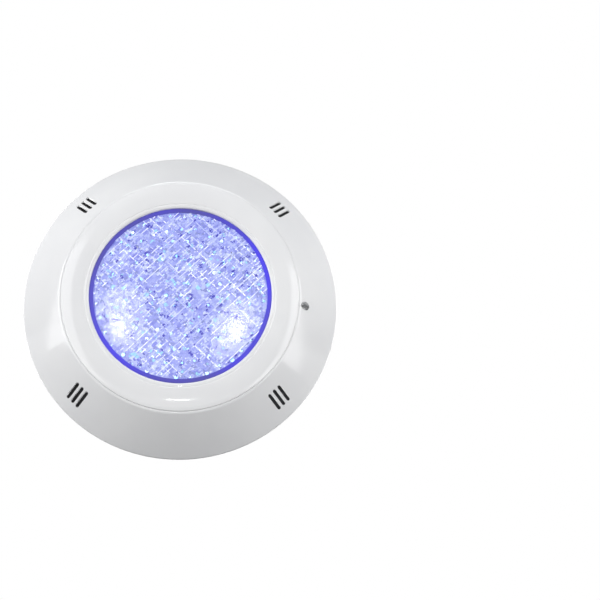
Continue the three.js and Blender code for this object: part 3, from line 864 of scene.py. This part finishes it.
def add_rear_housing():
    housing = as_object("rear_housing_shell", housing_shell())
    posts = [rod(POST_OUT_R, 20.3, 26.7, *polar(POST_R, a)) for a in DIAGONALS]
    pads = [rod(DRIVER_PAD_R, DISC_Z + 1, 16.2, x, y) for x, y in DRIVER_PADS]
    gland = rod(GLAND_OUT_R, GLAND_Z, 19, GLAND_X, GLAND_Y, GLAND_STEPS, 0.6)
    for group in [flange()] + arm_parts() + [together(posts), together(pads), gland]:
        boolean(housing, group, "UNION")
    screw_holes = together([rod(POST_BORE_R, 23, 35, *polar(POST_R, a)) for a in DIAGONALS])
    bore = rod(GLAND_BORE_R, 0, GLAND_FLOOR_Z, GLAND_X, GLAND_Y, GLAND_STEPS)
    passage = rod(CABLE_PASSAGE_R, 5, 25, GLAND_X, GLAND_Y, HOLE_STEPS)
    for group in arm_cuts() + [screw_holes, bore, passage]:
        boolean(housing, group, "DIFFERENCE")
    finished(housing, "lamp_body", BODY_ABS)
    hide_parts("rear_housing")


def add_gland_cap():
    """The cap that presses the seal: a dished ring with a rounded lip round the cable."""
    bore = CABLE_D / 2 + 0.35
    r = GLAND_BORE_R - 0.3
    cap = lathe([(bore, CAP_FRONT_Z), (bore, CAP_REAR_Z, 0.4), (bore + 1.6, CAP_REAR_Z, 0.3),
                 (bore + 2.2, CAP_REAR_Z + 0.35, 0.3), (r - 1.3, CAP_REAR_Z + 0.35, 0.3),
                 (r - 0.9, CAP_REAR_Z, 0.2), (r, CAP_REAR_Z, 0.35), (r, CAP_FRONT_Z)],
                GLAND_STEPS)
    cap.transform(Matrix.Translation((GLAND_X, GLAND_Y, 0)))
    piece = finished(as_object("gland_cap_fine", cap), "lamp_body", BODY_ABS)
    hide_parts("gland_cap")


add_rear_housing()
add_gland_cap()

# ---- Lens and lights --------------------------------------------------------------------------


def dome_outer(r):
    return DOME_TOP - DOME_SAG * (r / DOME_R) ** 2


def dome_inner(r):
    return INNER_TOP - INNER_SAG * (r / DOME_R) ** 2


def add_lens():
    dome_steps = 16
    radii = [DOME_R * k / dome_steps for k in range(dome_steps + 1)]
    outer = [(r, dome_outer(r)) for r in radii]
    inner = [(r, dome_inner(r)) for r in reversed(radii)]
    edge = [(81.2, 35.2, 0.5), (81.9, 34.7, 0.3), (81.9, 34), (85.9, 34, 0.2), (85.9, 32.2, 0.2),
            (80.5, 32.2)]
    lens = as_object("lens_dome", lathe(outer + edge + inner))
    finished(lens, "lamp_body", CLEAR, LENS_EDGE_PAINTED_GLOW)
    edge_from = (DOME_R + 0.1) * MM
    for face in lens.data.polygons:
        x, _, z = face.center
        if math.hypot(x, z) > edge_from:
            face.material_index = 1
    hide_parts("lens")


def pattern_box(u, v, length, width, depth, slant, twist):
    """A small prism under the lens, in the pattern's own directions."""
    shape = raised([(-length / 2, -width / 2), (length / 2, -width / 2),
                    (length / 2, width / 2), (-length / 2, width / 2)], -depth, 0.25)
    for vertex in shape.verts:
        if vertex.co.z < 0:
            vertex.co.z += slant * (vertex.co.x / length + 0.6 * twist * vertex.co.y / width)
            vertex.co.x *= PRISM_TAPER
            vertex.co.y *= PRISM_TAPER
    shape.transform(Matrix.Translation((u, v, dome_inner(math.hypot(u, v)))))
    return shape


def add_prisms():
    rng = random.Random(11)
    columns = 20
    rows = 34
    pitch_u, pitch_v = PRISM_PITCH
    end_r = DOME_R - 0.6
    wire_hole = Matrix.Rotation(math.radians(-PATTERN_TURN), 2) @ WIRE_HOLE
    cells = []
    for i in range(-columns, columns + 1):
        for j in range(-rows, rows + 1):
            u = (i + 0.5 * (j % 2)) * pitch_u + rng.uniform(-0.5, 0.5)
            v = j * pitch_v + rng.uniform(-0.2, 0.2)
            length = rng.uniform(2.8, 4.3)
            width = rng.uniform(1.6, 2.3)
            skipped = rng.random() < PRISM_MISSING
            depth = rng.uniform(0.25, 0.7)
            slant = rng.uniform(-0.35, 0.35)
            twist = rng.uniform(-1, 1)
            if (Vector((u, v)) - wire_hole).length < WIRE_HOLE_CLEAR:
                skipped = False
                length = pitch_u + 0.6
                width = pitch_v + 0.2
            if math.hypot(u, v) > end_r or skipped:
                continue
            cells.append(pattern_box(u, v, length, width, depth, slant, twist))
    prisms = together(cells)
    prisms.transform(turn(PATTERN_TURN))
    piece = finished(as_object("lens_prisms", prisms), "lamp_body", prism_cells_painted_light())


def add_ridges():
    """The long fine ridges between the prisms, in two crossing directions."""
    rng = random.Random(5)
    rows = 20
    ridges = []
    for direction, pitch, share in RIDGE_SETS:
        for k in range(-rows, rows + 1):
            v = k * pitch + rng.uniform(-0.6, 0.6)
            if abs(v) > DOME_R - 3:
                continue
            half_chord = math.sqrt(DOME_R ** 2 - v ** 2)
            u = -half_chord + rng.uniform(0, 14)
            while u < half_chord - 4:
                length = min(rng.uniform(8, 44), half_chord - u)
                if rng.random() < share:
                    ridges.append(ridge(u, u + length, v, rng.uniform(0.4, 0.95), direction))
                u += length + rng.uniform(1, 10)
    piece = finished(as_object("lens_ridges", together(ridges)), "lamp_body", prism_ridges_painted_glow())


def ridge(start, end, v, width, direction):
    """One ridge, wide at the lens and narrow at its free edge, bent to follow the lens."""
    facet_length = 8
    root = 0.15
    depth = 0.85
    tip = 0.12
    steps = max(1, round((end - start) / facet_length))
    shape = bmesh.new()
    rows = []
    for k in range(steps + 1):
        u = start + (end - start) * k / steps
        z = dome_inner(math.hypot(u, v))
        profile = ((-width / 2, z + root), (width / 2, z + root), (tip, z - depth), (-tip, z - depth))
        rows.append([shape.verts.new((u, v + dv, height)) for dv, height in profile])
    for one, two in zip(rows, rows[1:]):
        for k in range(4):
            n = (k + 1) % 4
            shape.faces.new((one[k], one[n], two[n], two[k]))
    shape.faces.new(rows[0][::-1])
    shape.faces.new(rows[-1])
    bmesh.ops.recalc_face_normals(shape, faces=shape.faces)
    shape.transform(turn(direction))
    return shape


def led_places():
    """One diode in the middle and six rings of them, a little uneven, clear of the screws."""
    rng = random.Random(3)
    places = [(0.0, 0.0)]
    for ring, count in enumerate(LED_RINGS, 1):
        radius = LED_RING_PITCH * ring
        for k in range(count):
            at = 360 * k / count + 7 * ring + rng.uniform(-1, 1)
            places.append(polar(radius + rng.uniform(-1.3, 1.3), at))
    screws = [Vector(polar(POST_R, a)) for a in DIAGONALS]
    clear = [p for p in places if (Vector(p) - WIRE_HOLE).length > WIRE_HOLE_CLEAR]
    return [p for p in clear if all((Vector(p) - s).length > SCREW_CLEAR for s in screws)]


def led_chip(x, y):
    across = (-LED_HALF, LED_HALF)
    chip = block(across, across, (LED_BOARD_TOP + 0.02, LED_BOARD_TOP + 0.7), 0, 0.15)
    chip.transform(Matrix.Translation((x, y, 0)))
    return chip


def led_dome(x, y, r):
    curve = [(r * math.cos(t), LED_DOME_HEIGHT * math.sin(t)) for t in (0.35, 0.7, 1.05, 1.35)]
    profile = [(0, 0), (r, 0)] + curve + [(0, LED_DOME_HEIGHT)]
    dome = lathe([(a, LED_BOARD_TOP + 0.6 + b) for a, b in profile], 16)
    dome.transform(Matrix.Translation((x, y, 0)))
    return dome


def add_leds():
    places = led_places()
    package = moulded("led_package", (0.28, 0.28, 0.75), (0.4, 0.4, 0.85), (0.3, 0.4), patch=200.0)
    chips = finished(as_object("led_packages", together([led_chip(*p) for p in places])),
                     "lamp_body", package)
    rng = random.Random(8)
    emitters = together([led_dome(x, y, rng.uniform(1.1, 1.8)) for x, y in places])
    domes = finished(as_object("led_emitters", emitters), "lamp_body", diode())


add_lens()
add_prisms()
add_ridges()
add_leds()

# ---- Studio -----------------------------------------------------------------------------------

FLOOR_Z = -0.6
AMBIENT = 0.03
LAMP_MIDDLE = Vector((0, -0.02, 0))
FLOOR_HALF = 15.0
FLOOR_FADE = 0.62               # the paint has run out 1 / 0.62 = 1.6 m from the middle
FRONT_BOX = (2.0, 1.45)
REAR_BOX = (1.6, 1.5)
OVALS = (("haze", 1.0, 0.44), ("glow", 0.66, 0.2), ("core", 0.36, 0.1))  # name, share, power
OVAL_STRETCH = 1.7


def add_world():
    world = bpy.data.worlds.new("studio")
    world.use_nodes = True
    bpy.context.scene.world = world
    tree = world.node_tree
    tree.nodes.clear()
    output = tree.nodes.new("ShaderNodeOutputWorld")
    mix = tree.nodes.new("ShaderNodeMixShader")
    path = tree.nodes.new("ShaderNodeLightPath")
    seen = tree.nodes.new("ShaderNodeBackground")
    lighting = tree.nodes.new("ShaderNodeBackground")
    lighting.inputs["Color"].default_value = (0.96, 0.98, 1.0, 1)
    lighting.inputs["Strength"].default_value = AMBIENT
    tree.links.new(path.outputs["Is Camera Ray"], mix.inputs["Fac"])
    tree.links.new(lighting.outputs["Background"], mix.inputs[1])
    tree.links.new(seen.outputs["Background"], mix.inputs[2])
    tree.links.new(mix.outputs["Shader"], output.inputs["Surface"])
    seen.inputs["Color"].default_value = (1, 1, 1, 1)


def add_softbox(name, place, size, power, color=(1, 1, 1), shape="RECTANGLE", roll=0.0):
    """An area light that faces the lamp, turned by roll about its own axis."""
    light = bpy.data.lights.new(name, "AREA")
    light.shape = shape
    light.size, light.size_y = size
    light.energy = power
    light.color = color
    box = bpy.data.objects.new(name, light)
    box.location = place
    aim = (LAMP_MIDDLE - Vector(place)).to_track_quat("-Z", "Y").to_matrix()
    box.rotation_euler = (aim @ Matrix.Rotation(math.radians(roll), 3, "Z")).to_euler()
    box.visible_camera = False
    bpy.context.scene.collection.objects.link(box)
    return box


def add_lens_highlight(side, place, shift, width, roll):
    """A soft-edged window reflected in the lens: three ovals, one inside another."""
    for k, (name, share, power) in enumerate(OVALS):
        middle = (place[0] + k * shift[0], place[1], place[2] + k * shift[1])
        oval = (width * share, OVAL_STRETCH * width * share)
        window = add_softbox(f"lens_{name}_{side}", middle, oval, power, shape="ELLIPSE", roll=roll)
        lights_only(window, "lens_dome")


def lights_only(box, name):
    """A light that one piece alone receives."""
    box.light_linking.receiver_collection = bpy.data.collections.new("lit_by_" + box.name)
    box.light_linking.receiver_collection.objects.link(bpy.data.objects[name])


def floor_paint():
    """Pale matt paint near the lamp that runs out into the white surroundings."""
    n = Nodes("studio_floor")
    n.set(Roughness=0.6)
    n.link(n.ramp(n.noise(2.0), [(0.3, (0.80, 0.80, 0.81)), (0.7, (0.83, 0.83, 0.84))]),
           n.shader.inputs["Base Color"])
    fade = n.add("ShaderNodeTexGradient", gradient_type="SPHERICAL")
    scaled = n.add("ShaderNodeMapping")
    scaled.inputs["Scale"].default_value = (FLOOR_FADE, FLOOR_FADE, FLOOR_FADE)
    n.link(n.place, scaled.inputs["Vector"])
    n.link(scaled.outputs["Vector"], fade.inputs["Vector"])
    white = n.add("ShaderNodeEmission")
    mix = n.add("ShaderNodeMixShader")
    n.link(n.ramp(fade.outputs["Fac"], [(0.0, (0, 0, 0)), (0.75, (1, 1, 1))]), mix.inputs["Fac"])
    n.link(white.outputs["Emission"], mix.inputs[1])
    n.link(n.shader.outputs["BSDF"], mix.inputs[2])
    n.link(mix.outputs["Shader"], n.tree.nodes["Material Output"].inputs["Surface"])
    return n.material


def add_floor():
    plane = bmesh.new()
    bmesh.ops.create_grid(plane, x_segments=4, y_segments=4, size=FLOOR_HALF)
    floor = as_object("floor", plane)
    floor.location.z = FLOOR_Z
    floor.data.materials.append(floor_paint())
    floor.visible_diffuse = False


def add_slot_shade():
    """A dark card inside the rim, seen only from the front through the slots, in place of the
    shaded surface that the light lay against. From behind it is clear."""
    n = Nodes("slot_shade")
    n.set(Roughness=0.9)
    n.link(n.ramp(n.noise(80), [(0.3, (0.022, 0.022, 0.024)), (0.7, (0.035, 0.035, 0.037))]),
           n.shader.inputs["Base Color"])
    side = n.add("ShaderNodeNewGeometry").outputs["Backfacing"]
    clear = n.add("ShaderNodeBsdfTransparent")
    mix = n.add("ShaderNodeMixShader")
    n.link(side, mix.inputs["Fac"])
    n.link(n.shader.outputs["BSDF"], mix.inputs[1])
    n.link(clear.outputs["BSDF"], mix.inputs[2])
    n.link(mix.outputs["Shader"], n.tree.nodes["Material Output"].inputs["Surface"])
    steps = 72
    height = 1.2
    radii = (109, 141)
    angles = [360 * k / steps for k in range(steps)]
    card = bmesh.new()
    rings = [[card.verts.new((*polar(r, a), height)) for a in angles] for r in radii]
    for k in range(steps):
        m = (k + 1) % steps
        card.faces.new((rings[0][k], rings[1][k], rings[1][m], rings[0][m]))
    bmesh.ops.recalc_face_normals(card, faces=card.faces)
    if card.faces[:][0].normal.z < 0:
        bmesh.ops.reverse_faces(card, faces=card.faces)
    shade = as_object("slot_shade", card)
    shade.data.transform(BENCH_TO_WORLD)
    shade.data.materials.append(n.material)
    shade.visible_shadow = False
    shade.visible_diffuse = False
    shade.visible_glossy = False


add_world()
add_floor()
add_slot_shade()
add_softbox("left_box", place=(-1.35, -1.1, 0.15), size=FRONT_BOX, power=23.5)
add_softbox("right_box", place=(1.35, -1.1, 0.15), size=FRONT_BOX, power=29)
add_softbox("side_box", place=(-1.6, -0.5, 0.2), size=(0.8, 1.2), power=9)
add_softbox("overhead_box", place=(0.0, -0.3, 1.5), size=(1.0, 0.3), power=5.9,
            color=(0.95, 0.97, 1.0))
add_softbox("rear_left_box", place=(1.3, 1.2, 0.5), size=REAR_BOX, power=24)
add_softbox("rear_right_box", place=(-1.3, 1.2, 0.5), size=REAR_BOX, power=24)
add_lens_highlight("left", place=(-0.325, -1.55, 0.31), shift=(-0.01, -0.02), width=0.19, roll=14)
add_lens_highlight("right", place=(0.17, -1.54, 0.29), shift=(0.01, -0.002), width=0.17, roll=-22)
crest_glint = add_softbox("crest_glint", place=(-0.038, -1.63, -0.05), size=(0.09, 0.02), power=0.5)
lights_only(crest_glint, "face_ring_shell")
bpy.context.scene.view_settings.view_transform = "Standard"
